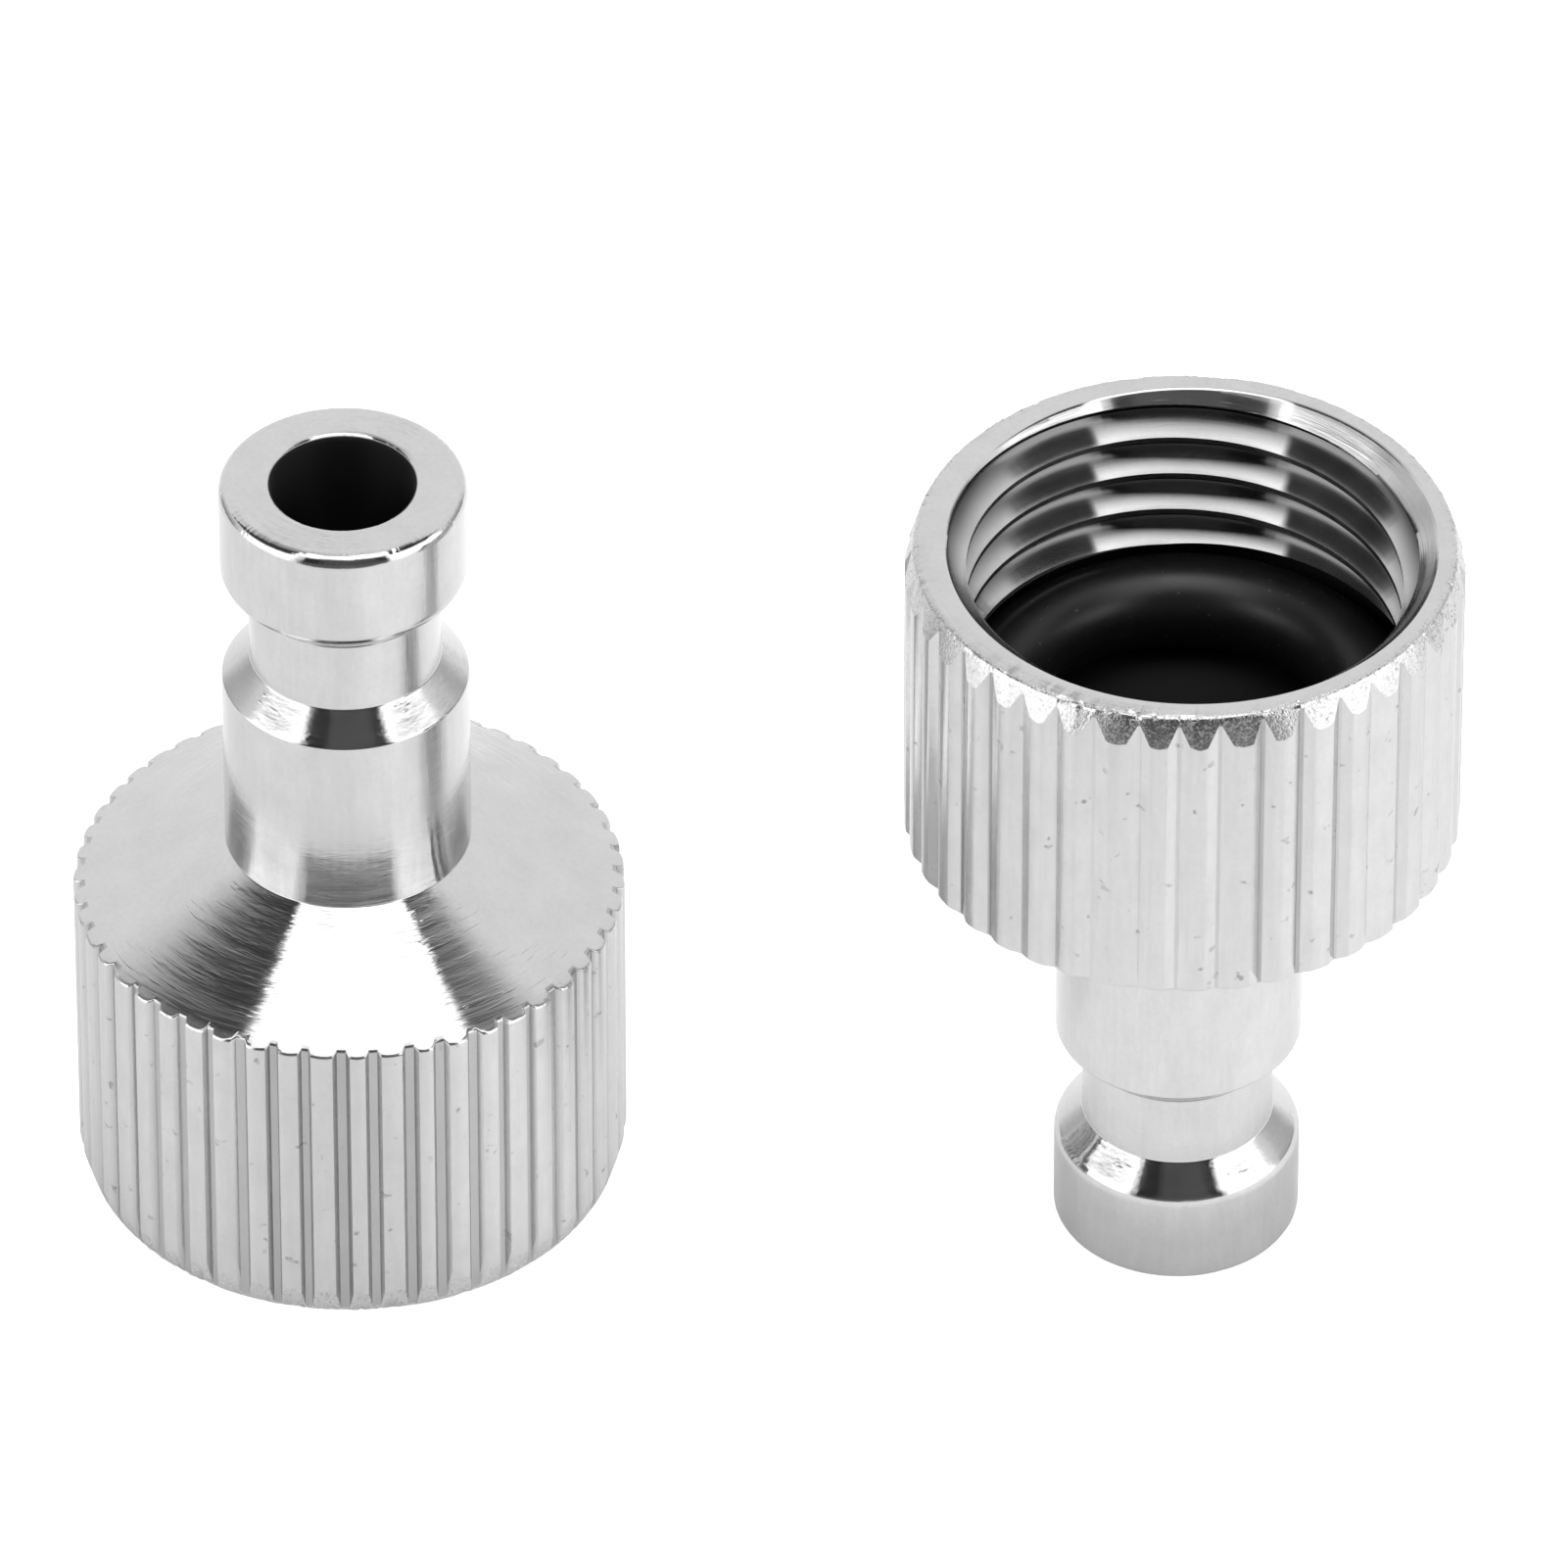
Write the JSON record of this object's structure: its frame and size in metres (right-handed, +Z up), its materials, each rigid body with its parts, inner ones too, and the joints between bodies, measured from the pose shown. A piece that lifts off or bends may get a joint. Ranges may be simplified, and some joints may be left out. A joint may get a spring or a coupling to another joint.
{
  "type": "quick disconnect coupler",
  "caption": "Pair of small nickel-plated quick-disconnect plugs: knurled skirt with a threaded socket and rubber seal ring, cone, and slim nose with a locking groove.",
  "frame": {"origin": "on the surface that both plugs stand on, at the centre of the pair's box", "axes": "+Z up along both plugs' axes, +X from the upright plug towards the inverted one, +Y away from the viewer of the picture"},
  "size_m": [0.0274, 0.013, 0.017],
  "materials": {
    "nickel_plate": "turned brass, bright nickel plated, with faint tool marks",
    "seal_rubber": "moulded black nitrile, satin"
  },
  "bodies": {
    "upright_plug": {"upright_plug_body": "nickel_plate", "upright_seal_ring": "seal_rubber"},
    "inverted_plug": {"inverted_plug_body": "nickel_plate", "inverted_seal_ring": "seal_rubber"}
  },
  "joints": [
    {"name": "inverted_plug_lift", "type": "slide", "parent": "upright_plug", "child": "inverted_plug", "axis": [0, 0, 1], "range_m": [0, 0.02]}
  ]
}
